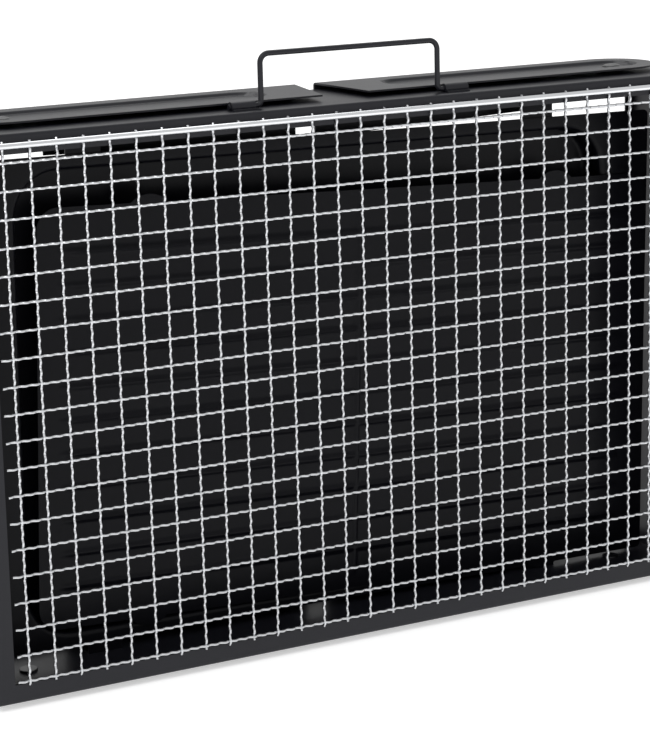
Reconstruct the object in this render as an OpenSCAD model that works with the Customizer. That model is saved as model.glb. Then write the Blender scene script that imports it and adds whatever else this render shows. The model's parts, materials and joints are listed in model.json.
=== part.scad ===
// Folding suitcase grill: a shallow steel case with a carry handle on its long side,
// a wire cooking grate on its front, a fire pan and a coal plate inside, and four
// sheet-steel legs that swing out behind it. It is drawn closed and standing upright.

/* [Case] */
// Width of the case
case_w = 440; // [380:1:560]
// Height of the case as it stands upright
case_h = 300; // [240:1:400]
// Depth of the case, from its front lip to its open back
case_d = 66; // [60:1:90]
// Thickness of the case sheet
case_t = 1; // [0.8:0.1:2]
// Width of the front lip round the mouth
lip_w = 10.5; // [8:0.5:16]
// Width of the narrow lip round the open back
back_lip_w = 6; // [4:0.5:9]

/* [Cooking grate] */
// Distance from one grate wire to the next
wire_pitch = 14.4; // [12:0.1:18]
// Diameter of the grate wire
wire_d = 1.5; // [1.3:0.1:2.5]
// Clear space between the outer crossing wires and the mouth of the case
grate_margin = 1.5; // [1:0.1:4]
// Diameter of the bright rod that the grate hangs from
rod_d = 3.2; // [2.6:0.1:4]
// Width of a rod clip
clip_w = 8; // [5:0.5:8]

/* [Fire pan] */
// Width of the side flanges of the pan
pan_flange_w = 33; // [25:1:45]
// Width of the upper and lower flanges of the pan
pan_edge_w = 8; // [6:0.5:14]
// Air gap between the upper edge of the pan and the case
pan_air_gap = 22; // [14:1:34]
// Depth of the pan
pan_deep = 17; // [10:0.5:18]
// Sheet thickness of the pan
pan_t = 1; // [0.8:0.1:1.5]
// Corner radius of the pan
pan_corner_r = 25; // [10:1:40]
// Slope at which the pan hangs, lower on the right
pan_slope = 0.9; // [0:0.1:1]
// Width of a pan hanger
hanger_w = 20; // [12:1:30]

/* [Coal plate] */
// Width of the loose coal plate
coal_w = 385; // [300:1:390]
// Height of the coal plate
coal_h = 233; // [180:1:236]
// Sheet thickness of the coal plate
coal_t = 1.2; // [1:0.1:2]
// Height of the pressed beads on the coal plate
bead_h = 1.2; // [0.8:0.1:1.5]
// Distance between the pressed beads
bead_pitch = 18.5; // [14:0.5:30]
// Width of a half-round lug on the edge of the coal plate
coal_lug_w = 22; // [12:1:40]
// How far the lugs stand out from the edge
coal_lug_h = 4.5; // [3:0.5:6]
// Lean at which the loose plate has settled
coal_lean = 2.5; // [0:0.1:2.5]

/* [Carry handle] */
// Distance between the two uprights of the handle
handle_span = 107; // [80:1:140]
// Height of the handle bar above its pivots
handle_rise = 27; // [24:1:45]
// Diameter of the handle wire
handle_d = 3; // [2.5:0.1:4]
// Bend radius of the handle corners
handle_bend = 5; // [5:0.5:10]
// Distance of the handle pivots behind the front of the case
handle_y = 10; // [9:0.5:11]
// Length of the bridge over each handle foot
bridge_l = 14; // [10:0.5:18]

/* [Legs] */
// Width of the flat web of a leg
leg_w = 50; // [40:1:50]
// Sheet thickness of a leg
leg_t = 1; // [0.8:0.1:1.5]
// Depth of the long pressed channel
channel_deep = 1.8; // [1.8:0.1:4]
// Width of the pressed channel
channel_w = 28; // [18:0.5:30]
// Distance of a leg pivot from the end of the case
leg_inset = 32; // [30:0.5:40]
// Gap between two folded legs at the back
leg_gap = 12; // [8:0.5:30]
// How far the foot of a leg slants across its width
foot_slant = 8; // [0:0.5:12]
// Depth of the back flange at its pivot end
flange_low = 26.7; // [14:0.1:30]
// Depth of the back flange at the foot
flange_high = 31.2; // [20:0.1:40]
// Radius of the leg rivet shank
rivet_r = 2.5; // [2:0.1:3]

/* [Hidden] */
$fn = 48;

fit = 0.05;            // radial running clearance of every pin in its hole
gap = 0.5;             // clear space between a moving piece and the case
seat = 0.3;            // clear space under a loose piece that rests on another
weld = 0.1;            // how far welded wires sink into each other
eps = 0.01;            // overrun of a cutting tool

washer_t = 0.6;
washer_r = 7;
head_r = 5.5;
head_h = 1.5;
tail_h = 1.2;
leg_lift = washer_t + 0.1;                        // case face to the channel's underside
leg_top = leg_lift + leg_t + channel_deep;        // case face to the leg's outer face
leg_y0 = case_d - leg_w;                          // front edge of a folded leg
leg_y = case_d - leg_w / 2;                       // pivot of a leg
leg_x = case_w / 2 - leg_inset;
leg_l = leg_x - leg_gap / 2;                      // pivot to the back corner of the foot
flange_x = leg_w / 2 + 7;                         // pivot to the near end of the flange
flange_y = leg_w / 2 + gap;                       // pivot to the flange's inner face

upright_y = -gap - wire_d / 2;                    // the upright wires lie in front of the lip
cross_y = upright_y + wire_d - weld;
rod_y = upright_y - wire_d / 2 - rod_d / 2 + weld;
mouth_w = case_w - 2 * lip_w;
mouth_h = case_h - 2 * lip_w;
upright_n = 2 * floor((mouth_w / 2 - grate_margin - wire_d) / wire_pitch) + 1;
cross_z0 = lip_w + wire_d / 2 + 0.6;              // height of the lowest crossing wire
cross_n = floor((mouth_h - wire_d - 1.2) / wire_pitch) + 1;
rod_z = case_h - lip_w * 0.55;
tip_low = lip_w - 0.8;                            // the wire tips lap over the lower lip
tip_high = rod_z + 1.8;

pan_y = 46;                                       // front face of the pan's flange
pan_w = case_w - 2 * case_t - 8;
pan_rise = sin(pan_slope);                        // climb of the pan's edge per mm of width
pan_z0 = case_t + tail_h + seat + (leg_x + head_r) * pan_rise;
pan_z1 = case_h - case_t - pan_air_gap;
pan_h = pan_z1 - pan_z0;
pan_z = (pan_z0 + pan_z1) / 2;
hanger_x = 0.32 * case_w;
hanger_lap = 0.6 * (pan_edge_w - pan_t);          // how far a strap reaches behind the flange
coal_y = pan_y - coal_t - seat;                   // front face of the coal plate
coal_x = 18;                                      // the plate has slid to the right
coal_r = 12;
coal_lug_x = coal_w / 3;
coal_lug_r = (coal_lug_w * coal_lug_w / 4 + coal_lug_h * coal_lug_h) / (2 * coal_lug_h);
coal_lug_z = coal_h / 2 + coal_lug_h - coal_lug_r;  // centre of a lug's arc
coal_low = coal_lug_z * cos(coal_lean) + coal_lug_x * sin(coal_lean) + coal_lug_r;
coal_z = case_t + seat + coal_low;
bead_w = 2.4;
bead_edge = 14;                                   // from a bead's end to the plate's side
crease_edge = 8;                                  // from the crease's end to the plate's edge
bead_n = floor((coal_h / 2 - 20) / bead_pitch);

handle_z = case_h + handle_d / 2 + 0.4;
foot_l = bridge_l + 5;                            // length of each out-turned handle foot
bridge_r = handle_d / 2 + 1.3;
bridge_pad = 9;                                   // depth of the pad under a bridge
foot_land = 32;                                   // from the channel's end to a leg's foot

y_front = rod_y - rod_d / 2 - 1;                  // front of the rod clips
y_back = case_d + gap + leg_t;                    // back of the leg flanges
y_mid = (y_front + y_back) / 2;

// Everything below is drawn with its front lip at y = 0 and the case's floor at z = 0,
// and then moved so that the origin is under the middle of the whole grill.
module placed() {
    translate([0, -y_mid, leg_top])
        children();
}

// An upside-down copy, for what sits under the case.
module underside() {
    translate([0, 0, case_h])
        mirror([0, 0, 1])
            children();
}

module mirrored_x(on) {
    if (on)
        mirror([1, 0, 0]) children();
    else
        children();
}

// A flat rounded rectangle centred on the axis, standing in the XZ plane.
module upright_plate(w, h, r, t) {
    rotate([90, 0, 0])
        translate([0, 0, -t])
            linear_extrude(t)
                rounded_outline(w, h, r);
}

module rounded_outline(w, h, r) {
    union() {
        square([w - 2 * r, h], center = true);
        square([w, h - 2 * r], center = true);
        for (sx = [-1, 1])
            for (sz = [-1, 1])
                translate([sx * (w / 2 - r), sz * (h / 2 - r)])
                    circle(r);
    }
}

module case_block(inset, y0, y1) {
    translate([-case_w / 2 + inset, y0, inset])
        cube([case_w - 2 * inset, y1 - y0, case_h - 2 * inset]);
}

module rivet_holes() {
    for (sx = [-1, 1])
        translate([sx * leg_x, leg_y, -eps])
            cylinder(h = case_h + 2 * eps, r = rivet_r + fit);
}

module case_shell() {
    color([0.09, 0.09, 0.1])
        placed()
            difference() {
                case_block(0, 0, case_d);
                case_block(case_t, case_t, case_d - case_t);
                case_block(lip_w, -eps, case_t + eps);
                case_block(back_lip_w, case_d - case_t - eps, case_d + eps);
                rivet_holes();
            }
}

module pan_bowl(grow, y0, y1) {
    translate([0, y0, 0])
        upright_plate(pan_w - 2 * pan_flange_w + 2 * grow, pan_h - 2 * pan_edge_w + 2 * grow,
                      pan_corner_r + grow, y1 - y0);
}

module fire_pan() {
    color([0.07, 0.07, 0.08])
        placed()
            translate([0, pan_y, pan_z])
                rotate([0, pan_slope, 0])
                    difference() {
                        union() {
                            upright_plate(pan_w, pan_h, 3, pan_t);
                            pan_bowl(pan_t, 0, pan_deep + pan_t);
                        }
                        pan_bowl(0, -eps, pan_deep);
                    }
}

// Half-round lugs on the plate's upper and lower edges, cut from its own sheet.
module coal_lugs() {
    for (sx = [-1, 1])
        for (sz = [-1, 1])
            translate([sx * coal_lug_x, coal_t, sz * coal_lug_z])
                rotate([90, 0, 0])
                    cylinder(h = coal_t, r = coal_lug_r);
}

module coal_plate() {
    color([0.08, 0.08, 0.09])
        placed()
            translate([coal_x, coal_y, coal_z])
                rotate([0, coal_lean, 0]) {
                    upright_plate(coal_w, coal_h, coal_r, coal_t);
                    coal_lugs();
                    for (k = [-bead_n:bead_n])
                        translate([-coal_w / 2 + bead_edge, -bead_h, k * bead_pitch - bead_w / 2])
                            cube([coal_w - 2 * bead_edge, bead_h + eps, bead_w]);
                    translate([-bead_w / 2, -bead_h, -coal_h / 2 + crease_edge])
                        cube([bead_w, bead_h + eps, coal_h - 2 * crease_edge]);
                }
}

// A bent strap from the case's roof down behind the pan's flange, whose edge is at z_edge.
module pan_strap(z_edge) {
    z_end = z_edge - hanger_lap;
    translate([hanger_x - hanger_w / 2, pan_y + pan_t, z_end])
        cube([hanger_w, pan_t, case_h - case_t - z_end]);
    translate([hanger_x - hanger_w / 2, pan_y + pan_t, case_h - case_t - pan_t])
        cube([hanger_w, 12, pan_t]);
}

module pan_hanger(left) {
    color([0.06, 0.06, 0.07])
        placed()
            mirrored_x(left)
                pan_strap(pan_z1 + (left ? 1 : -1) * hanger_x * pan_rise);
}

module pan_foot(left) {
    color([0.06, 0.06, 0.07])
        placed()
            underside()
                mirrored_x(left)
                    pan_strap(case_h - pan_z0 - (left ? 1 : -1) * hanger_x * pan_rise);
}

module grate_uprights() {
    color([0.86, 0.87, 0.88])
        placed()
            for (k = [0:upright_n - 1])
                translate([(k - (upright_n - 1) / 2) * wire_pitch, upright_y, tip_low])
                    cylinder(h = tip_high - tip_low, d = wire_d, $fn = 24);
}

module grate_crosswires() {
    color([0.86, 0.87, 0.88])
        placed()
            for (k = [0:cross_n - 1])
                translate([-mouth_w / 2 + grate_margin, cross_y, cross_z0 + k * wire_pitch])
                    rotate([0, 90, 0])
                        cylinder(h = mouth_w - 2 * grate_margin, d = wire_d, $fn = 24);
}

module grate_rod() {
    color([0.9, 0.9, 0.92])
        placed()
            translate([-case_w / 2 + 2, rod_y, rod_z])
                rotate([0, 90, 0])
                    cylinder(h = case_w - 4, d = rod_d);
}

module rod_clip(left) {
    clip_x = case_w / 2 - 4 - clip_w;
    color([0.09, 0.09, 0.1])
        placed()
            mirrored_x(left)
                difference() {
                    union() {
                        translate([clip_x, rod_y, rod_z])
                            rotate([0, 90, 0])
                                cylinder(h = clip_w, r = rod_d / 2 + 1);
                        translate([clip_x, rod_y, rod_z - 1.5])
                            cube([clip_w, -rod_y, 3]);
                        translate([clip_x, -1, rod_z - 4])
                            cube([clip_w, 1, 8]);
                    }
                    translate([clip_x - eps, rod_y, rod_z])
                        rotate([0, 90, 0])
                            cylinder(h = clip_w + 2 * eps, r = rod_d / 2 + fit);
                }
}

module handle_half() {
    bar_l = handle_span / 2 - handle_bend;
    rotate([0, 90, 0])
        cylinder(h = bar_l, d = handle_d);
    translate([bar_l, 0, -handle_bend])
        rotate([90, 0, 0])
            rotate_extrude(angle = 90)
                translate([handle_bend, 0])
                    circle(d = handle_d);
    translate([handle_span / 2, 0, -handle_rise + handle_bend / 2])
        cylinder(h = handle_rise - handle_bend * 1.5, d = handle_d);
    translate([handle_span / 2 + handle_bend / 2, 0, -handle_rise + handle_bend / 2])
        rotate([90, 0, 0])
            rotate([0, 0, 180])
                rotate_extrude(angle = 90)
                    translate([handle_bend / 2, 0])
                        circle(d = handle_d);
    translate([handle_span / 2 + handle_bend / 2, 0, -handle_rise])
        rotate([0, 90, 0])
            cylinder(h = foot_l - handle_bend / 2, d = handle_d);
}

module carry_handle() {
    color([0.1, 0.1, 0.11])
        placed()
            translate([0, handle_y, handle_z + handle_rise]) {
                handle_half();
                mirror([1, 0, 0]) handle_half();
            }
}

module handle_bridge(left) {
    bridge_x = handle_span / 2 + foot_l - bridge_l - 1;
    color([0.1, 0.1, 0.11])
        placed()
            mirrored_x(left)
                translate([bridge_x, handle_y, case_h])
                    difference() {
                        union() {
                            translate([0, 0, handle_z - case_h])
                                rotate([0, 90, 0])
                                    cylinder(h = bridge_l, r = bridge_r);
                            translate([0, -bridge_pad / 2, 0])
                                cube([bridge_l, bridge_pad, 1]);
                        }
                        translate([-eps, -bridge_r - eps, -bridge_r])
                            cube([bridge_l + 2 * eps, 2 * bridge_r + 2 * eps, bridge_r]);
                        translate([-eps, 0, handle_z - case_h])
                            rotate([0, 90, 0])
                                cylinder(h = bridge_l + 2 * eps, r = handle_d / 2 + fit);
                    }
}

// The leg's outline, with its pivot at the origin and its foot along +X.
module leg_outline() {
    hw = leg_w / 2;
    circle(hw);
    polygon([
        [0, -hw], [leg_l - foot_slant, -hw], [leg_l, hw + gap + leg_t],
        [flange_x, hw + gap + leg_t], [flange_x, hw], [0, hw]
    ]);
}

module channel_outline(w) {
    channel_l = leg_l - foot_land - channel_w / 2;
    circle(d = w);
    translate([0, -w / 2])
        square([channel_l, w]);
    translate([channel_l, 0])
        circle(d = w);
}

module leg_body() {
    foot_x = leg_l - foot_slant * leg_t / (leg_w + gap + leg_t);
    difference() {
        union() {
            translate([0, 0, leg_top - leg_t])
                linear_extrude(leg_t)
                    leg_outline();
            translate([0, 0, leg_lift])
                linear_extrude(leg_top - leg_lift)
                    channel_outline(channel_w);
            translate([0, flange_y + leg_t, 0])
                rotate([90, 0, 0])
                    linear_extrude(leg_t)
                        polygon([
                            [flange_x, leg_top], [foot_x, leg_top],
                            [foot_x, leg_top - flange_high], [flange_x, leg_top - flange_low]
                        ]);
        }
        translate([0, 0, leg_lift + leg_t])
            linear_extrude(leg_top)
                channel_outline(channel_w - 2 * leg_t);
        translate([0, 0, -eps])
            cylinder(h = leg_top, r = rivet_r + fit);
    }
}

module at_pivot(left) {
    mirrored_x(!left)
        translate([-leg_x, leg_y, case_h])
            children();
}

module leg_upper(left) {
    color([0.1, 0.1, 0.11])
        placed()
            at_pivot(left) leg_body();
}

module leg_lower(left) {
    color([0.1, 0.1, 0.11])
        placed()
            underside()
                at_pivot(left) leg_body();
}

module rivet_body() {
    translate([0, 0, -case_t - tail_h])
        cylinder(h = tail_h, r = head_r - 0.5);
    translate([0, 0, -case_t - eps])
        cylinder(h = case_t + leg_lift + leg_t + 0.1 + 2 * eps, r = rivet_r);
    translate([0, 0, leg_lift + leg_t + 0.1])
        cylinder(h = head_h, r = head_r);
}

module washer_body() {
    difference() {
        cylinder(h = washer_t, r = washer_r);
        translate([0, 0, -eps])
            cylinder(h = washer_t + 2 * eps, r = rivet_r + fit);
    }
}

module rivet_upper(left) {
    color([0.12, 0.12, 0.13])
        placed()
            at_pivot(left) rivet_body();
}

module rivet_lower(left) {
    color([0.12, 0.12, 0.13])
        placed()
            underside()
                at_pivot(left) rivet_body();
}

module washer_upper(left) {
    color([0.3, 0.3, 0.31])
        placed()
            at_pivot(left) washer_body();
}

module washer_lower(left) {
    color([0.3, 0.3, 0.31])
        placed()
            underside()
                at_pivot(left) washer_body();
}

case_shell();
fire_pan();
coal_plate();
pan_hanger(true);  // pan_hanger_left
pan_hanger(false);  // pan_hanger_right
pan_foot(true);  // pan_foot_left
pan_foot(false);  // pan_foot_right
grate_uprights();
grate_crosswires();
grate_rod();
rod_clip(true);  // rod_clip_left
rod_clip(false);  // rod_clip_right
carry_handle();
handle_bridge(true);  // handle_bridge_left
handle_bridge(false);  // handle_bridge_right
leg_upper(true);  // leg_top_left
leg_upper(false);  // leg_top_right
leg_lower(true);  // leg_bottom_left
leg_lower(false);  // leg_bottom_right
rivet_upper(true);  // rivet_top_left
rivet_upper(false);  // rivet_top_right
rivet_lower(true);  // rivet_bottom_left
rivet_lower(false);  // rivet_bottom_right
washer_upper(true);  // washer_top_left
washer_upper(false);  // washer_top_right
washer_lower(true);  // washer_bottom_left
washer_lower(false);  // washer_bottom_right
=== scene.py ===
"""A folding suitcase grill in its finishes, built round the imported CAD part.

Every new piece is a numpy surface made in the part's own frame, in metres.
"""

import json
import logging
import math
from dataclasses import dataclass, field
from enum import Enum

import bpy
import numpy as np
from mathutils import Matrix, Vector

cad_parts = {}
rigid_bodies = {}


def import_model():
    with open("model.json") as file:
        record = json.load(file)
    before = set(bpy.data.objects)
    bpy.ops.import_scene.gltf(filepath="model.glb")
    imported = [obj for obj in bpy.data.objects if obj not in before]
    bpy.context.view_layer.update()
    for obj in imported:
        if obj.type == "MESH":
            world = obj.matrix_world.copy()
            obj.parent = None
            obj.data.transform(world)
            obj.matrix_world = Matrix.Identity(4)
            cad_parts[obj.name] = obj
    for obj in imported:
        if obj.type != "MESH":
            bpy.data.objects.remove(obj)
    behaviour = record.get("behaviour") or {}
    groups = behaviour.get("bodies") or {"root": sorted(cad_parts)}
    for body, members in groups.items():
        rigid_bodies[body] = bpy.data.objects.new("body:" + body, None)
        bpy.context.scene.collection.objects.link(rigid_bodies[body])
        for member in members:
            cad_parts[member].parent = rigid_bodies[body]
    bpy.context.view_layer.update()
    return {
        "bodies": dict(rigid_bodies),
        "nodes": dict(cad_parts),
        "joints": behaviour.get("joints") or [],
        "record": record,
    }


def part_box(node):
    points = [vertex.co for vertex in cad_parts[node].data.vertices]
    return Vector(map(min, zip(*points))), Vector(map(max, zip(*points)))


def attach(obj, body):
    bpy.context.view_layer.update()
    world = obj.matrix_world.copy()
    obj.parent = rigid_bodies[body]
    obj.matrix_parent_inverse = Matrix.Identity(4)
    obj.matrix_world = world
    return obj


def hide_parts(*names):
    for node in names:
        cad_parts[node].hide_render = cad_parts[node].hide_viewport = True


LOG = logging.getLogger("grill")
MM = 0.001
SHARP_DEG = 38
SEED = 7
# Stands for the flange's own depth in an edge line
TO_DEPTH = -1.0


class Slot(Enum):
    """The record's material slots."""

    POWDER = "black_powder_coat"
    # Black heat paint, its colour darkened with painted shade for the shaded inside of the
    # case
    HEAT = "black_heat_paint"
    RIVET = "blackened_rivet"
    ZINC = "zinc_plate"
    WIRE = "galvanised_wire"
    CHROME = "chrome_rod"


class Side(Enum):
    """The four places of a leg: name, sign along X and sign along Z."""

    TOP_LEFT = ("top_left", -1, 1)
    TOP_RIGHT = ("top_right", 1, 1)
    BOTTOM_LEFT = ("bottom_left", -1, -1)
    BOTTOM_RIGHT = ("bottom_right", 1, -1)


@dataclass(frozen=True)
class Finish:
    """A procedural finish in Object coordinates.

    Noise in the object's own metres varies the tone and the roughness, and a finer
    noise drives a shallow bump.
    """

    slot: Slot
    base: tuple[float, float, float]
    rough: float
    metallic: float = 0.0
    tone_spread: float = 0.15
    rough_spread: float = 0.06
    cloud_scale: float = 18.0
    grain_scale: float = 1400.0
    grain: float = 0.05
    specular: float = 0.5
    cloud_detail: float = 4.0
    grain_detail: float = 2.0
    grain_deep: float = 0.4 * MM

    def build(self) -> bpy.types.Material:
        """Makes the node material.

        Returns:
            The finished material.
        """
        mat = bpy.data.materials.new(self.slot.value)
        mat.use_nodes = True
        tree = mat.node_tree
        nodes, links = tree.nodes, tree.links
        bsdf = nodes["Principled BSDF"]
        bsdf.inputs["Metallic"].default_value = self.metallic
        bsdf.inputs["Specular IOR Level"].default_value = self.specular
        coords = nodes.new("ShaderNodeTexCoord")
        cloud = self._noise(tree, coords, self.cloud_scale, self.cloud_detail)
        grain = self._noise(tree, coords, self.grain_scale, self.grain_detail)
        tone = nodes.new("ShaderNodeMix")
        tone.data_type = "RGBA"
        low = [c * (1 - self.tone_spread) for c in self.base]
        high = [min(1.0, c * (1 + self.tone_spread)) for c in self.base]
        tone.inputs[6].default_value = (*low, 1)
        tone.inputs[7].default_value = (*high, 1)
        links.new(cloud.outputs["Fac"], tone.inputs[0])
        links.new(tone.outputs[2], bsdf.inputs["Base Color"])
        rough = nodes.new("ShaderNodeMapRange")
        rough.inputs["To Min"].default_value = self.rough - self.rough_spread
        rough.inputs["To Max"].default_value = self.rough + self.rough_spread
        links.new(cloud.outputs["Fac"], rough.inputs["Value"])
        links.new(rough.outputs["Result"], bsdf.inputs["Roughness"])
        bump = nodes.new("ShaderNodeBump")
        bump.inputs["Strength"].default_value = self.grain
        bump.inputs["Distance"].default_value = self.grain_deep
        links.new(grain.outputs["Fac"], bump.inputs["Height"])
        links.new(bump.outputs["Normal"], bsdf.inputs["Normal"])
        return mat

    @staticmethod
    def _noise(tree: bpy.types.NodeTree, coords: bpy.types.Node, scale: float,
               detail: float) -> bpy.types.Node:
        """Adds one noise texture in Object coordinates.

        Args:
            tree: The material's nodes and links.
            coords: The texture coordinate node.
            scale: Cells per metre.
            detail: Octaves of noise.

        Returns:
            The noise node.
        """
        noise = tree.nodes.new("ShaderNodeTexNoise")
        noise.inputs["Scale"].default_value = scale
        noise.inputs["Detail"].default_value = detail
        tree.links.new(coords.outputs["Object"], noise.inputs["Vector"])
        return noise


FINISHES = (
    Finish(Slot.POWDER, (0.0095, 0.0098, 0.0135), 0.38, specular=0.3, grain=0.1),
    # The heat paint is set darker than the powder coat: partly the paint's own black, partly
    # painted shade for the pan and the coal plate inside the case
    Finish(Slot.HEAT, (0.0028, 0.0029, 0.0045), 0.34, specular=0.13, grain=0.08),
    Finish(Slot.RIVET, (0.008, 0.008, 0.01), 0.3),
    Finish(Slot.ZINC, (0.35, 0.35, 0.36), 0.45, metallic=0.9),
    Finish(Slot.WIRE, (0.66, 0.67, 0.69), 0.26, metallic=1.0, tone_spread=0.1),
    Finish(Slot.CHROME, (0.74, 0.75, 0.77), 0.1, metallic=1.0, tone_spread=0.03,
           rough_spread=0.03, grain=0.01),
)


@dataclass
class Workshop:
    """Turns arrays into finished objects that ride on the CAD bodies."""

    mats: dict[Slot, bpy.types.Material] = field(default_factory=dict)

    def __post_init__(self) -> None:
        """Builds every finish once."""
        self.mats = {finish.slot: finish.build() for finish in FINISHES}

    def piece(self, name: str, mesh: "Surface", slot: Slot, body: str,
              replaces: tuple[str, ...]) -> None:
        """Makes one object and joins it to the frame.

        Args:
            name: The piece's name.
            mesh: Its points and faces.
            slot: Its material slot.
            body: The CAD body it moves with.
            replaces: The CAD nodes it stands for.
        """
        data = bpy.data.meshes.new(name)
        mesh.fill(data)
        data.polygons.foreach_set("use_smooth", [True] * len(data.polygons))
        data.materials.append(self.mats[slot])
        obj = bpy.data.objects.new(name, data)
        bpy.context.scene.collection.objects.link(obj)
        data.set_sharp_from_angle(angle=math.radians(SHARP_DEG))
        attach(obj, body)
        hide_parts(*replaces)
        LOG.info("%s: %d faces on %s", name, len(data.polygons), body)

    def dress(self, frame: dict) -> None:
        """Gives each carried CAD node the finish of its slot.
        """
        slots = {s.value: s for s in Slot}
        for part in frame["record"]["subparts"]:
            obj = frame["nodes"][part["node"]]
            obj.data.materials.clear()
            obj.data.materials.append(self.mats[slots[part["material_slot"]]])
            LOG.info("%s: carried, %s", part["node"], part["material_slot"])


@dataclass
class Surface:
    """Points and faces, added up piece by piece."""

    points: list[np.ndarray] = field(default_factory=list)
    quads: list[np.ndarray] = field(default_factory=list)
    caps: list[np.ndarray] = field(default_factory=list)
    count: int = 0

    def add_grid(self, pts: np.ndarray, wrap_u: bool = False, wrap_v: bool = False,
                 flip: bool = False, keep: np.ndarray | None = None,
                 cap: bool = False) -> "Surface":
        """Adds a grid of points as quads.

        Args:
            pts: Points, shaped (rows, columns, 3).
            wrap_u: Whether the last row joins the first.
            wrap_v: Whether the last column joins the first.
            flip: Whether the faces are turned over.
            keep: Which quads stay, shaped like the quads, or None for all.
            cap: Whether the first and last rows are closed by one face each.

        Returns:
            This surface.
        """
        rows, cols = pts.shape[:2]
        ids = np.arange(rows * cols).reshape(rows, cols) + self.count
        if wrap_u:
            ids = np.vstack([ids, ids[:1]])
        if wrap_v:
            ids = np.hstack([ids, ids[:, :1]])
        quad = np.stack([ids[:-1, :-1], ids[:-1, 1:], ids[1:, 1:], ids[1:, :-1]], -1)
        if keep is not None:
            quad = quad[keep]
        quad = quad.reshape(-1, 4)
        self.quads.append(quad[:, ::-1] if flip else quad)
        if cap:
            first, last = ids[0, :cols][::-1], ids[-1, :cols]
            self.caps += [first[::-1], last[::-1]] if flip else [first, last]
        self.points.append(pts.reshape(-1, 3))
        self.count += rows * cols
        return self

    def add_slab(self, top: np.ndarray, under: np.ndarray,
                 keep: np.ndarray | None = None) -> "Surface":
        """Adds a closed sheet between an upper and an under grid of equal shape.

        Args:
            top: The upper points, with their normals outward.
            under: The under points.
            keep: Which quads of both skins stay, or None for all.

        Returns:
            This surface.
        """
        rows, cols = top.shape[:2]
        start = self.count
        self.add_grid(top, keep=keep)
        self.add_grid(under, flip=True, keep=keep)
        ids = np.arange(rows * cols).reshape(rows, cols) + start
        edge = np.concatenate([ids[0, :-1], ids[:-1, -1], ids[-1, :0:-1], ids[:0:-1, 0]])
        turn = np.roll(edge, -1)
        step = rows * cols
        self.quads.append(np.stack([turn, edge, edge + step, turn + step], -1))
        return self

    def move(self, turn: np.ndarray, shift: tuple[float, float, float]) -> None:
        """Turns and shifts every point, and turns the faces over for a mirror.

        Args:
            turn: A 3 by 3 matrix.
            shift: Metres added afterwards.
        """
        self.points = [p @ turn.T + np.array(shift) for p in self.points]
        if np.linalg.det(turn) < 0:
            self.quads = [q[:, ::-1] for q in self.quads]
            self.caps = [c[::-1] for c in self.caps]

    def fill(self, data: bpy.types.Mesh) -> None:
        """Writes the surface into a mesh.

        Args:
            data: The empty mesh.
        """
        quads = np.concatenate(self.quads)
        loops = np.concatenate([quads.ravel(), *self.caps]).astype(np.int32)
        sizes = np.concatenate([np.full(len(quads), 4), [len(c) for c in self.caps]])
        starts = np.concatenate([[0], np.cumsum(sizes)[:-1]]).astype(np.int32)
        pts = np.concatenate(self.points)
        data.vertices.add(len(pts))
        data.vertices.foreach_set("co", pts.ravel().astype(np.float32))
        data.loops.add(len(loops))
        data.loops.foreach_set("vertex_index", loops)
        data.polygons.add(len(sizes))
        data.polygons.foreach_set("loop_start", starts)
        data.update(calc_edges=True)
        data.validate()


def ring(half_w: float, half_h: float, radius: float, steps: int = 8) -> np.ndarray:
    """A rounded rectangle in the XZ plane, anticlockwise seen from the front.

    Each corner is a quarter circle of the radius about a centre one radius in from
    both sides.

    Args:
        half_w: Half the width.
        half_h: Half the height.
        radius: The corner radius.
        steps: Segments in each corner.

    Returns:
        Points, shaped (4 * (steps + 1), 2).
    """
    turn = np.linspace(0, math.pi / 2, steps + 1)
    quarter = np.arange(4)[:, None] * math.pi / 2 + turn[None, :]
    sx = np.array([1, -1, -1, 1])[:, None]
    sz = np.array([1, 1, -1, -1])[:, None]
    x = sx * (half_w - radius) + radius * np.cos(quarter)
    z = sz * (half_h - radius) + radius * np.sin(quarter)
    return np.stack([x, z], -1).reshape(-1, 2)


def ring_loft(profile: np.ndarray, half_w: float, half_h: float, radius: float,
              least: float) -> np.ndarray:
    """Carries a profile round a rounded rectangle.

    A profile point (y, inset) becomes the rectangle shrunk by the inset at that y,
    and its corner radius shrinks with it down to the least.

    Args:
        profile: Rows of (y, inset across, inset up), in metres.
        half_w: Half the outer width.
        half_h: Half the outer height.
        radius: The outer corner radius.
        least: The smallest corner radius.

    Returns:
        Points, shaped (profile rows, ring points, 3).
    """
    rows = [
        np.insert(ring(half_w - a, half_h - b, max(radius - min(a, b), least)), 1, y, axis=1)
        for y, a, b in profile
    ]
    return np.array(rows)


def tube(path: np.ndarray, radius: float, sides: int, aim: np.ndarray) -> np.ndarray:
    """A round tube along a path.

    Each section is a circle in the plane square to the path's direction, with its
    first axis as near as possible to the aim.

    Args:
        path: Points, shaped (samples, 3).
        radius: The tube's radius, one number or one for each sample.
        sides: Points round each section.
        aim: A direction that's never along the path.

    Returns:
        Points, shaped (samples, sides, 3).
    """
    run = np.gradient(path, axis=0)
    run /= np.linalg.norm(run, axis=1, keepdims=True)
    side = np.cross(run, aim)
    side /= np.linalg.norm(side, axis=1, keepdims=True)
    rise = np.cross(side, run)
    angle = np.linspace(0, 2 * math.pi, sides, endpoint=False)
    reach = np.broadcast_to(np.asarray(radius, float).reshape(-1, 1, 1), (len(path), 1, 1))
    across = np.cos(angle)[None, :, None] * side[:, None]
    upward = np.sin(angle)[None, :, None] * rise[:, None]
    return path[:, None] + reach * (across + upward)


def lathe(profile: np.ndarray, sides: int) -> np.ndarray:
    """Turns a profile of (radius, height) about the Z axis.

    Args:
        profile: Rows of radius and height.
        sides: Points round the axis.

    Returns:
        Points, shaped (profile rows, sides, 3).
    """
    angle = np.linspace(0, 2 * math.pi, sides, endpoint=False)
    r, z = profile[:, :1], np.repeat(profile[:, 1:], sides, axis=1)
    return np.stack([r * np.cos(angle), r * np.sin(angle), z], -1)


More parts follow.
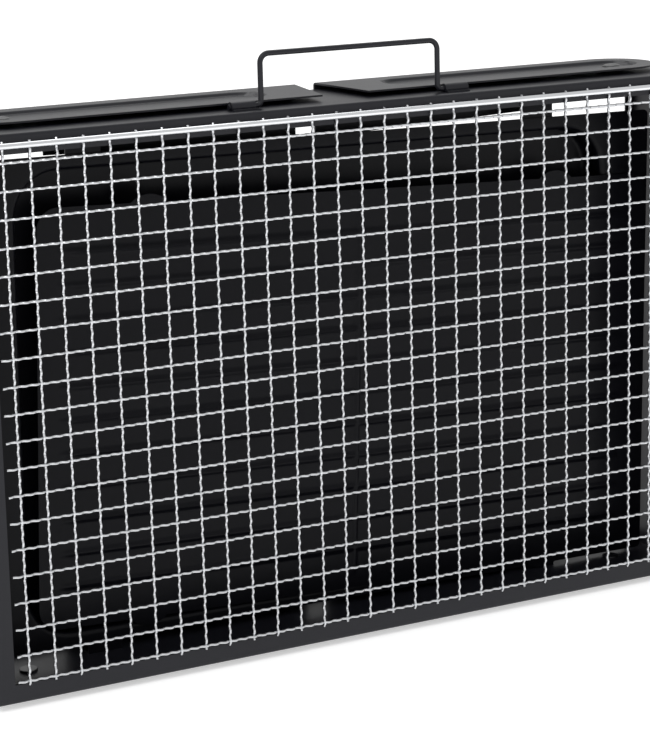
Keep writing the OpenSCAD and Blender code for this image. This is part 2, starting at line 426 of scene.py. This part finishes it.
def about_y(turn: float) -> np.ndarray:
    """The matrix of a turn about Y, clockwise seen from the front.

    Args:
        turn: The turn in radians.

    Returns:
        A 3 by 3 matrix.
    """
    c, s = math.cos(turn), math.sin(turn)
    return np.array([[c, 0, s], [0, 1, 0], [-s, 0, c]])


def fillet(corner: tuple[float, float], start: float, stop: float, radius: float,
           steps: int = 5) -> np.ndarray:
    """Points on an arc about a centre, from one angle to another in degrees.

    Args:
        corner: The arc's centre.
        start: The first angle.
        stop: The last angle.
        radius: The arc's radius.
        steps: Segments in the arc.

    Returns:
        Points, shaped (steps + 1, 2).
    """
    turn = np.radians(np.linspace(start, stop, steps + 1))
    return np.array(corner) + radius * np.stack([np.cos(turn), np.sin(turn)], -1)


@dataclass
class Case:
    """The folded sheet case, with its two lips."""

    sheet: float = 1.0 * MM
    front_lip: float = 10.5 * MM
    back_lip: float = 6 * MM
    fold: float = 1.6 * MM
    corner: float = 1.3 * MM
    least_corner: float = 0.12 * MM

    def build(self, shop: Workshop) -> None:
        """Makes the case as one closed profile carried round its outline.

        The profile runs over the front lip, round the front fold, along the wall,
        round the back fold and down the back lip, and returns inside, one sheet in.

        Args:
            shop: Where pieces are made.
        """
        low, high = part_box("case_shell")
        depth, t, f = high.y - low.y, self.sheet, self.fold
        outer = np.vstack([
            [[0.0, self.front_lip]],
            fillet((f, f), 180, 270, f),
            fillet((depth - f, f), 270, 360, f),
            [[depth, self.back_lip]],
        ])
        g = f - t
        inner = np.vstack([
            [[depth - t, self.back_lip]],
            fillet((depth - f, f), 360, 270, g),
            fillet((f, f), 270, 180, g),
            [[t, self.front_lip]],
        ])
        loop = np.vstack([outer, inner])
        loop[:, 0] += low.y
        profile = np.column_stack([loop[:, 0], loop[:, 1], loop[:, 1]])
        pts = ring_loft(profile, (high.x - low.x) / 2, (high.z - low.z) / 2,
                        self.corner, self.least_corner)
        pts[..., 2] += (low.z + high.z) / 2
        mesh = Surface().add_grid(pts, wrap_u=True, wrap_v=True)
        shop.piece("folded_case", mesh, Slot.POWDER, "case", ("case_shell",))


@dataclass
class FirePan:
    """The pressed pan hung behind the mouth of the case."""

    flange_side: float = 33 * MM
    flange_edge: float = 8 * MM
    corner: float = 25 * MM
    round_in: float = 3.5 * MM
    sheet: float = 1.0 * MM
    slope: float = 0.9
    rim_corner: float = 3 * MM
    least_corner: float = 2 * MM
    least_lip: float = 0.5 * MM

    def build(self, shop: Workshop) -> None:
        """Makes the pan as rings that run in over the flange and down the bowl.

        The front skin and the back skin are one sheet apart, and a smooth fillet
        joins the flange to the wall and the wall to the floor.

        Args:
            shop: Where pieces are made.
        """
        low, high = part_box("fire_pan")
        turn = math.radians(self.slope)
        half_w, half_h = self._halves(high.x - low.x, high.z - low.z, turn)
        deep, t, r = high.y - low.y - self.sheet, self.sheet, self.round_in
        front = self._skin(half_w, half_h, 0.0, deep, r, 0.0)
        back = self._skin(half_w, half_h, t, deep + t, r, t)
        pts = np.array(back[::-1] + front)
        mesh = Surface().add_grid(pts, wrap_v=True, flip=True, cap=True)
        mesh.move(about_y(turn), ((low.x + high.x) / 2, low.y, (low.z + high.z) / 2))
        shop.piece("pressed_fire_pan", mesh, Slot.HEAT, "case", ("fire_pan",))

    @staticmethod
    def _halves(wide: float, tall: float, turn: float) -> tuple[float, float]:
        """Finds the level half sizes of a turned rectangle from its box.

        Args:
            wide: The box's width.
            tall: The box's height.
            turn: The turn in radians.

        Returns:
            Half the width and half the height before the turn.
        """
        c, s = math.cos(turn), math.sin(turn)
        span = c * c - s * s
        return (wide * c - tall * s) / span / 2, (tall * c - wide * s) / span / 2

    def _skin(self, half_w: float, half_h: float, top: float, floor: float,
              r: float, grow: float) -> list[np.ndarray]:
        """Lists one skin's rings from the flange's edge to the bowl's floor.

        Args:
            half_w: Half the pan's width.
            half_h: Half the pan's height.
            top: The flange's depth.
            floor: The floor's depth.
            r: The fillet radius.
            grow: How far this skin's wall stands outside the front skin's wall.

        Returns:
            Rings, each shaped (points, 3).
        """
        rows = [(top, 0.0, 0.0, self.rim_corner)]
        lip = max(r - grow, self.least_lip)
        base = r + grow
        over = fillet((top + lip, lip), 180, 270, lip)
        down = fillet((floor - base, -base), 90, 0, base)
        for y, out in np.vstack([over, down]):
            rows.append((y, self.flange_side - grow - out, self.flange_edge - grow - out,
                         self.corner + grow + out))
        return [
            np.insert(ring(half_w - a, half_h - b, max(c, self.least_corner)), 1, y, axis=1)
            for y, a, b, c in rows
        ]


@dataclass
class CoalPlate:
    """The loose pressed plate that the coals lie on."""

    width: float = 385 * MM
    height: float = 233 * MM
    corner: float = 12 * MM
    sheet: float = 1.2 * MM
    lean: float = 2.5
    bead_high: float = 1.2 * MM
    bead_half: float = 2.4 * MM
    bead_pitch: float = 18.5 * MM
    beads: int = 5
    bead_edge: float = 14 * MM
    lug_width: float = 22 * MM
    lug_high: float = 4.5 * MM
    border: float = 14 * MM
    fade: float = 3 * MM
    crease_stop: float = 0.6
    under_share: float = 0.9
    level_rows: int = 241
    border_rows: int = 9
    corner_columns: int = 13
    lug_columns: int = 25
    crease_columns: int = 9
    column_pitch: float = 4 * MM
    column_least: float = 0.8 * MM

    def build(self, shop: Workshop) -> None:
        """Makes the plate from columns that run between its two curved edges.

        Inner rows keep their height, and outer rows stretch to the outline, which is
        a rounded rectangle with two half-round lugs above and two below.

        Args:
            shop: Where pieces are made.
        """
        low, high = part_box("coal_plate")
        x = self._columns()
        edge = self._edge(x)
        inner = self.height / 2 - self.border
        rows = np.linspace(-inner, inner, self.level_rows)
        blend = np.linspace(0, 1, self.border_rows)[1:]
        upper = inner + blend[:, None] * (edge[None, :] - inner)
        z = np.vstack([-upper[::-1], np.repeat(rows[:, None], len(x), 1), upper])
        xs = np.repeat(x[None, :], len(z), 0)
        rise = self._relief(xs, z)
        top = np.stack([xs, self.bead_high - rise, z], -1)
        back = self.bead_high + self.sheet - rise * self.under_share
        under = np.stack([xs, back, z], -1)
        mesh = Surface().add_slab(top, under)
        turn = math.radians(self.lean)
        mesh.move(about_y(turn), ((low.x + high.x) / 2, low.y, (low.z + high.z) / 2))
        shop.piece("beaded_coal_plate", mesh, Slot.HEAT, "coal_plate_body", ("coal_plate",))

    def _columns(self) -> np.ndarray:
        """Spaces the columns closely at the corners, the lugs and the crease.

        Returns:
            Column positions across the plate.
        """
        half = self.width / 2
        ease = (1 - np.cos(np.linspace(0, math.pi / 2, self.corner_columns))) * self.corner
        lug_half = self.lug_width / 2
        lug = np.linspace(-lug_half, lug_half, self.lug_columns) + self.width / 3
        crease = np.linspace(-self.bead_half, self.bead_half, self.crease_columns)
        fill = np.arange(-half + self.corner, half - self.corner, self.column_pitch)
        near = np.min(np.abs(fill[:, None] - np.concatenate([lug, -lug, crease])), axis=1)
        parts = [ease - half, half - ease, lug, -lug, crease, fill[near > self.column_least]]
        return np.unique(np.round(np.concatenate(parts), 7))

    def _edge(self, x: np.ndarray) -> np.ndarray:
        """Finds the height of the plate's upper edge at each column.

        Args:
            x: Column positions.

        Returns:
            Edge heights above the plate's middle.
        """
        from_side = np.clip(self.width / 2 - np.abs(x), 0, self.corner)
        drop = self.corner - np.sqrt(self.corner**2 - (self.corner - from_side) ** 2)
        arc = (self.lug_width**2 / 4 + self.lug_high**2) / (2 * self.lug_high)
        off = np.minimum(np.abs(np.abs(x) - self.width / 3), self.lug_width / 2)
        lug = np.maximum(np.sqrt(arc**2 - off**2) - (arc - self.lug_high), 0)
        return self.height / 2 - drop + lug

    def _relief(self, x: np.ndarray, z: np.ndarray) -> np.ndarray:
        """Adds up the pressed beads and the upright crease.

        A bead is half a cosine wave across, and it fades at both ends.

        Args:
            x: Across positions.
            z: Up positions.

        Returns:
            How far the sheet stands forward.
        """
        step = z / self.bead_pitch
        off = np.abs(step - np.clip(np.round(step), -self.beads, self.beads)) * self.bead_pitch
        wave = 0.5 + 0.5 * np.cos(np.minimum(off / self.bead_half, 1) * math.pi)
        fade = np.clip((self.width / 2 - self.bead_edge - np.abs(x)) / self.fade, 0, 1)
        crease = 0.5 + 0.5 * np.cos(np.minimum(np.abs(x) / self.bead_half, 1) * math.pi)
        crease_half = self.height / 2 - self.border * self.crease_stop
        ends = np.clip((crease_half - np.abs(z)) / self.fade, 0, 1)
        return self.bead_high * np.maximum(wave * fade, crease * ends)


@dataclass
class Grate:
    """The woven wire grate on its bright rod."""

    pitch: float = 14.4 * MM
    wire: float = 1.5 * MM
    sides: int = 8
    per_mesh: int = 16
    crimps: int = 5
    swing_share: float = 0.8
    wander: float = 0.06 * MM
    rod_round: float = 0.5 * MM
    rod_sides: int = 28
    nudge: float = 1e-6

    def build(self, shop: Workshop) -> None:
        """Weaves both sets of wires and turns the rod.

        A wire's depth is a cosine of its length, five half waves to each mesh, and
        neighbouring wires are in opposite phase, so that they pass over and under.

        Args:
            shop: Where pieces are made.
        """
        ups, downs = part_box("grate_uprights"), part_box("grate_crosswires")
        mid_y = (ups[0].y + downs[1].y) / 2
        wave = self.swing_share * ((downs[1].y - ups[0].y) / 2 - self.wire / 2)
        r = self.wire / 2
        first_x, last_x = ups[0].x + r, ups[1].x - r
        first_z, last_z = downs[0].z + r, downs[1].z - r
        n_up = round((last_x - first_x) / self.pitch) + 1
        n_cross = round((last_z - first_z) / self.pitch) + 1
        rng = np.random.default_rng(SEED)
        upright, cross = Surface(), Surface()
        z = self._samples(ups[0].z, ups[1].z)
        for k in range(n_up):
            swing = wave * np.cos(((z - first_z) / self.pitch * self.crimps + k) * math.pi)
            path = np.stack([np.full_like(z, first_x + k * self.pitch), mid_y - swing, z], -1)
            path[:, 0] += rng.normal(0, self.wander)
            upright.add_grid(tube(path, r, self.sides, np.array([1.0, 0, 0])),
                             wrap_v=True, cap=True)
        x = self._samples(downs[0].x, downs[1].x)
        for k in range(n_cross):
            swing = wave * np.cos(((x - first_x) / self.pitch * self.crimps + k) * math.pi)
            path = np.stack([x, mid_y + swing, np.full_like(x, first_z + k * self.pitch)], -1)
            path[:, 2] += rng.normal(0, self.wander)
            cross.add_grid(tube(path, r, self.sides, np.array([0, 0, 1.0])),
                           wrap_v=True, cap=True)
        shop.piece("woven_uprights", upright, Slot.WIRE, "grate", ("grate_uprights",))
        shop.piece("woven_crosswires", cross, Slot.WIRE, "grate", ("grate_crosswires",))
        self._rod(shop)

    def _samples(self, start: float, stop: float) -> np.ndarray:
        """Spaces samples along a wire.

        Args:
            start: The wire's first end.
            stop: Its other end.

        Returns:
            Positions along the wire.
        """
        return np.linspace(start, stop, int((stop - start) / self.pitch * self.per_mesh) + 2)

    def _rod(self, shop: Workshop) -> None:
        """Turns the bright rod, with its ends rounded over.

        Args:
            shop: Where pieces are made.
        """
        low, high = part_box("grate_rod")
        r = (high.z - low.z) / 2
        bend = self.rod_round
        end = fillet((low.x + bend, r - bend), 180, 90, bend)
        profile = np.vstack([end, [[0.0, r]], (end * [-1, 1])[::-1]])
        path = np.stack([profile[:, 0], np.full(len(profile), (low.y + high.y) / 2),
                         np.full(len(profile), (low.z + high.z) / 2)], -1)
        # A nudge along the rod gives each sample a direction of its own
        path[:, 0] += np.linspace(0, self.nudge, len(path))
        skin = tube(path, profile[:, 1], self.rod_sides, np.array([0, 0, 1.0]))
        mesh = Surface().add_grid(skin, wrap_v=True, cap=True)
        shop.piece("polished_rod", mesh, Slot.CHROME, "grate", ("grate_rod",))


@dataclass
class Handle:
    """The bent wire carry handle."""

    span: float = 107 * MM
    bend: float = 5 * MM
    wire: float = 3.0 * MM
    sides: int = 20
    foot_steps: int = 8
    corner_steps: int = 10

    def build(self, shop: Workshop) -> None:
        """Bends one wire: foot, upright, corner, bar, and the same again mirrored.

        The half path is a foot, a quarter circle up, an upright and a quarter circle
        into the bar, and the other half is its mirror image.

        Args:
            shop: Where pieces are made.
        """
        low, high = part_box("carry_handle")
        r = self.wire / 2
        foot_z, bar_z, y = low.z + r, high.z - r, (low.y + high.y) / 2
        half, small = self.span / 2, self.bend / 2
        foot = np.array([[high.x, foot_z]])
        lower = fillet((half + small, foot_z + small), 270, 180, small,
                       self.foot_steps)
        upper = fillet((half - self.bend, bar_z - self.bend), 0, 90, self.bend,
                       self.corner_steps)
        line = np.vstack([foot, lower, upper])
        line = np.vstack([line, (line * [-1, 1])[::-1]])
        path = np.column_stack([line[:, 0], np.full(len(line), y), line[:, 1]])
        mesh = Surface().add_grid(tube(path, r, self.sides, np.array([0, 1.0, 0])),
                                  wrap_v=True, cap=True)
        shop.piece("bent_wire_handle", mesh, Slot.POWDER, "handle", ("carry_handle",))


@dataclass
class Leg:
    """One pressed leg with its long channel and its back flange."""

    side: Side
    web: float = 50 * MM
    sheet: float = 1.0 * MM
    channel_deep: float = 1.8 * MM
    channel_wide: float = 28 * MM
    foot_land: float = 32 * MM
    hole: float = 3.4 * MM
    wall: float = 2.0 * MM
    slant: float = 8 * MM
    gap: float = 0.5 * MM
    fold: float = 1.8 * MM
    flange_low: float = 26.7 * MM
    flange_high: float = 31.2 * MM
    flange_start: float = 32 * MM
    flange_lap: float = 0.6 * MM
    flange_steps: int = 24
    fold_steps: int = 7
    wall_zone: float = 3 * MM
    hole_zone: float = 7 * MM
    fine_rows: int = 13
    round_rows: int = 15
    pivot_part: float = 0.26
    foot_part: float = 0.72
    pivot_columns: int = 46
    middle_columns: int = 40
    foot_columns: int = 56

    def build(self, shop: Workshop) -> None:
        """Presses the web, folds the flange and puts the leg in its place.

        The leg is drawn with its pivot at the origin, its foot along X and its outer
        face at zero, and is mirrored to its own corner of the case.

        Args:
            shop: Where pieces are made.
        """
        name, sx, sz = self.side.value
        low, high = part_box("leg_" + name)
        length = high.x - low.x - self.web / 2
        mesh = Surface()
        self._web(mesh, length)
        self._flange(mesh, length)
        pivot_x = low.x + self.web / 2 if sx < 0 else high.x - self.web / 2
        pivot_y = high.y - self.gap - self.sheet - self.web / 2
        face = high.z if sz > 0 else low.z
        mesh.move(np.diag([-sx, 1.0, sz]), (pivot_x, pivot_y, face))
        node = "leg_" + name
        shop.piece("pressed_" + node, mesh, Slot.POWDER, "leg_body_" + name, (node,))

    def _web(self, mesh: Surface, length: float) -> None:
        """Adds the web: rows at a fixed y, from the round end to the slanted foot.

        Its depth is a smooth step of the distance to the channel's middle line, and
        the faces under the rivet head are left out as the rivet's hole.

        Args:
            mesh: The leg's surface.
            length: From the pivot to the foot's back corner.
        """
        half = self.web / 2
        turn = np.linspace(-math.pi / 2, math.pi / 2, self.round_rows)
        reach = self.channel_wide / 2
        fine = np.linspace(reach - self.wall_zone, reach + self.wall_zone, self.fine_rows)
        by_hole = np.linspace(-self.hole_zone, self.hole_zone, self.fine_rows)
        spread = np.concatenate([half * np.sin(turn), fine, -fine, by_hole])
        y = np.unique(np.round(spread, 6))
        near = np.concatenate([
            np.linspace(0, self.pivot_part, self.pivot_columns),
            np.linspace(self.pivot_part, self.foot_part, self.middle_columns)[1:],
            np.linspace(self.foot_part, 1, self.foot_columns)[1:],
        ])
        start = -np.sqrt(np.maximum(half**2 - y**2, 0))
        total = self.web + self.gap + self.sheet
        stop = length - self.slant * (1 - (y + half) / total)
        x = start[:, None] + near[None, :] * (stop - start)[:, None]
        ys = np.repeat(y[:, None], len(near), 1)
        end = length - self.foot_land - reach
        off = np.hypot(x - np.clip(x, 0, end), ys)
        step = np.clip((reach - off) / self.wall + 0.5, 0, 1)
        down = self.channel_deep * step * step * (3 - 2 * step)
        top = np.stack([x, ys, -down], -1)
        under = np.stack([x, ys, -down - self.sheet], -1)
        away = np.hypot(x, ys)
        centre = (away[:-1, :-1] + away[1:, :-1] + away[1:, 1:] + away[:-1, 1:]) / 4
        mesh.add_slab(top, under, keep=centre > self.hole)

    def _flange(self, mesh: Surface, length: float) -> None:
        """Adds the folded flange: an edge profile carried along the leg.

        The profile leaves the web, turns through a quarter circle and drops by a
        depth that grows evenly towards the foot.

        Args:
            mesh: The leg's surface.
            length: From the pivot to the foot's back corner.
        """
        half, t, f = self.web / 2, self.sheet, self.fold
        back = half + self.gap + t
        total = self.web + self.gap + t
        share = np.linspace(0, 1, self.flange_steps)
        lap = half - self.flange_lap
        outer_fold = fillet((back - f, -f), 90, 0, f, self.fold_steps)
        inner_fold = fillet((back - f, -f), 90, 0, f - t, self.fold_steps)
        outer = np.vstack([[[lap, 0.0]], outer_fold, [[back, TO_DEPTH]]])
        inner = np.vstack([[[lap, -t]], inner_fold, [[back - t, TO_DEPTH]]])
        depth = self.flange_low + share * (self.flange_high - self.flange_low)

        def sweep(line: np.ndarray) -> np.ndarray:
            """Carries one edge line along the leg, down to the flange's own depth.

            Args:
                line: Points of (y, z) across the fold, where TO_DEPTH stands for the depth.

            Returns:
                Points, shaped (line points, samples, 3).
            """
            y = np.repeat(line[:, :1], len(share), 1)
            z = np.where(line[:, 1:] == TO_DEPTH, -depth[None, :], line[:, 1:])
            stop = length - self.slant * (1 - (y + half) / total)
            x = self.flange_start + share[None, :] * (stop - self.flange_start)
            return np.stack([x, y, z], -1)

        mesh.add_slab(sweep(outer), sweep(inner))


@dataclass
class Rivet:
    """One domed rivet on its leg pivot."""

    side: Side
    shank: float = 2.5 * MM
    head: float = 5.5 * MM
    dome: float = 1.5 * MM
    tail_high: float = 1.2 * MM
    tail_less: float = 0.5 * MM
    tail_bevel: float = 0.3 * MM
    tail_cap: float = 0.4 * MM
    crown_cap: float = 0.3 * MM
    dome_steps: int = 9
    sides: int = 32

    def build(self, shop: Workshop) -> None:
        """Turns the tail, the shank and the domed head as one closed profile.

        The dome is a quarter ellipse from the head's rim to its crown.

        Args:
            shop: Where pieces are made.
        """
        name, _, sz = self.side.value
        low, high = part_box("rivet_" + name)
        tall = high.z - low.z
        arc = np.linspace(0, math.pi / 2, self.dome_steps)[:-1]
        under = tall - self.dome
        crown = np.stack([self.head * np.cos(arc), under + self.dome * np.sin(arc)], -1)
        tail, bevel = self.head - self.tail_less, self.tail_bevel
        profile = np.vstack([
            [[self.tail_cap, 0.0], [tail - bevel, 0.0], [tail, bevel],
             [tail, self.tail_high], [self.shank, self.tail_high], [self.shank, under],
             [self.head, under]],
            crown[1:], [[self.crown_cap, tall]]])
        mesh = Surface().add_grid(lathe(profile, self.sides), wrap_v=True, cap=True)
        base = low.z if sz > 0 else high.z
        mesh.move(np.diag([1.0, 1.0, sz]), ((low.x + high.x) / 2, (low.y + high.y) / 2, base))
        node = "rivet_" + name
        shop.piece("domed_" + node, mesh, Slot.RIVET, "case", (node,))


@dataclass
class Studio:
    """The pale floor, the soft lights and the camera."""

    focal_share: float = 2351.06 / 750
    yaw: float = 0.46343
    pitch: float = 0.21425
    roll: float = -0.02383
    eye: tuple[float, float, float] = (-0.5782, -1.1407, 0.4680)
    sensor: float = 36.0
    shift_y: float = -0.1
    floor_half: float = 60.0
    floor_tone: float = 0.85
    floor_rough: float = 0.9
    floor_glow: float = 0.5
    world_glow: float = 0.75
    lamp_aim: tuple[float, float, float] = (0, 0, 0.15)
    clip_far: float = 200.0

    def build(self) -> None:
        """Sets the stage, the lights and the camera."""
        self._floor()
        self._lights()
        self._camera()

    def _floor(self) -> None:
        """Lays a pale floor under the grill, level and wide."""
        half, tone = self.floor_half, self.floor_tone
        data = bpy.data.meshes.new("floor")
        data.from_pydata([(-half, -half, 0), (half, -half, 0), (half, half, 0),
                          (-half, half, 0)], [], [(0, 1, 2, 3)])
        mat = bpy.data.materials.new("floor")
        mat.use_nodes = True
        bsdf = mat.node_tree.nodes["Principled BSDF"]
        bsdf.inputs["Base Color"].default_value = (tone, tone, tone, 1)
        bsdf.inputs["Roughness"].default_value = self.floor_rough
        bsdf.inputs["Emission Color"].default_value = (1, 1, 1, 1)
        bsdf.inputs["Emission Strength"].default_value = self.floor_glow
        data.materials.append(mat)
        obj = bpy.data.objects.new("floor", data)
        bpy.context.scene.collection.objects.link(obj)

    def _lights(self) -> None:
        """Adds an even pale world and two soft lamps."""
        world = bpy.data.worlds.new("studio")
        world.use_nodes = True
        back = world.node_tree.nodes["Background"]
        back.inputs["Color"].default_value = (1, 1, 1, 1)
        back.inputs["Strength"].default_value = self.world_glow
        bpy.context.scene.world = world
        bpy.context.scene.view_settings.view_transform = "Standard"
        self._lamp("key", (-1.2, -1.0, 1.9), 1.2, 14)
        self._lamp("top", (0.3, 1.0, 2.0), 1.6, 12)

    def _lamp(self, name: str, place: tuple[float, float, float], size: float,
              power: float) -> None:
        """Adds a square area lamp aimed at the grill.

        Args:
            name: The lamp's name.
            place: Where it hangs.
            size: The length of its side.
            power: Watts.
        """
        data = bpy.data.lights.new(name, "AREA")
        data.size, data.energy = size, power
        obj = bpy.data.objects.new(name, data)
        obj.location = place
        aim = Vector(self.lamp_aim) - Vector(place)
        obj.rotation_mode = "QUATERNION"
        obj.rotation_quaternion = aim.to_track_quat("-Z", "Y")
        bpy.context.scene.collection.objects.link(obj)

    def _camera(self) -> None:
        """Puts the camera where the grill is seen from, turned by yaw, pitch and roll."""
        cy, sy = math.cos(self.yaw), math.sin(self.yaw)
        cp, sp = math.cos(self.pitch), math.sin(self.pitch)
        cr, sr = math.cos(self.roll), math.sin(self.roll)
        level = np.array([[1, 0, 0], [0, 0, -1], [0, 1, 0]])
        turn = np.array([[cy, -sy, 0], [sy, cy, 0], [0, 0, 1]])
        tip = np.array([[1, 0, 0], [0, cp, -sp], [0, sp, cp]])
        tilt = np.array([[cr, -sr, 0], [sr, cr, 0], [0, 0, 1]])
        axes = tilt @ tip @ level @ turn
        cam = bpy.data.cameras.new("camera")
        cam.sensor_width = self.sensor
        cam.sensor_fit = "AUTO"
        cam.lens = self.focal_share * self.sensor
        cam.shift_y = self.shift_y
        cam.clip_end = self.clip_far
        obj = bpy.data.objects.new("camera", cam)
        basis = np.column_stack([axes[0], -axes[1], -axes[2]])
        obj.matrix_world = Matrix.Translation(self.eye) @ Matrix(basis.tolist()).to_4x4()
        bpy.context.scene.collection.objects.link(obj)
        bpy.context.scene.camera = obj


def main() -> None:
    """Builds the grill's pieces in order, then the studio."""
    logging.basicConfig(level=logging.INFO, format="%(name)s: %(message)s")
    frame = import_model()
    shop = Workshop()
    shop.dress(frame)
    Case().build(shop)
    FirePan().build(shop)
    CoalPlate().build(shop)
    Grate().build(shop)
    Handle().build(shop)
    for side in Side:
        Leg(side).build(shop)
        Rivet(side).build(shop)
    Studio().build()


if __name__ == "__main__":
    main()
